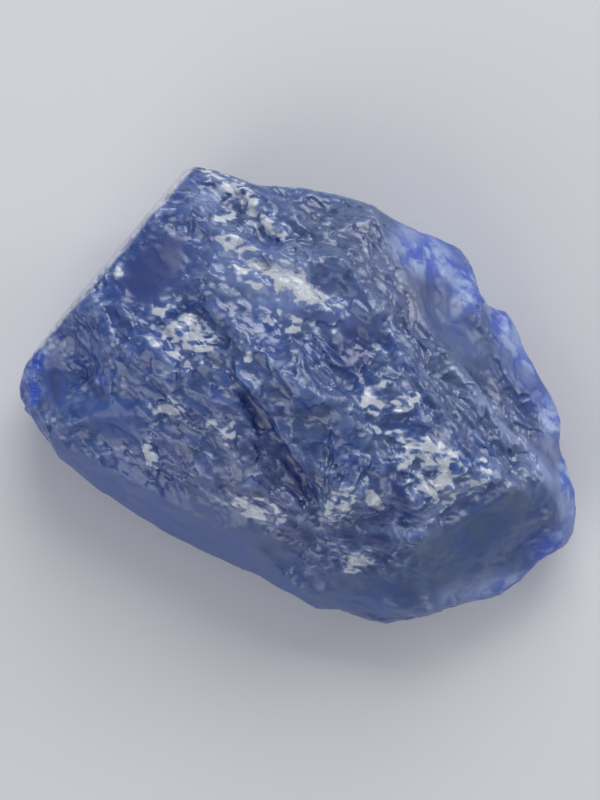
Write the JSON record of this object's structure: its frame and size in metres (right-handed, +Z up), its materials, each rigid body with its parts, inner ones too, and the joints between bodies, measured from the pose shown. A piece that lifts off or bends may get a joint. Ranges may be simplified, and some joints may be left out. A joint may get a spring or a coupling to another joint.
{
  "type": "rough sapphire",
  "caption": "Rough piece of blue sapphire: a hackly broken top with ledges, a smooth frosted face, a straight crystal face, thin see-through rims and a flat base that it rests on.",
  "frame": {"origin": "middle of the outer box, in the plane of the flat face that the stone rests on", "axes": "+X along the stone towards its thin, bright end; +Y across it towards the pointed corner; +Z up from the resting face"},
  "size_m": [0.0278, 0.0228, 0.0117],
  "materials": {
    "sapphire_blue": "vitreous on fresh breaks, frosted on grown faces"
  },
  "bodies": {
    "root": {"sapphire": "sapphire_blue"}
  },
  "joints": []
}
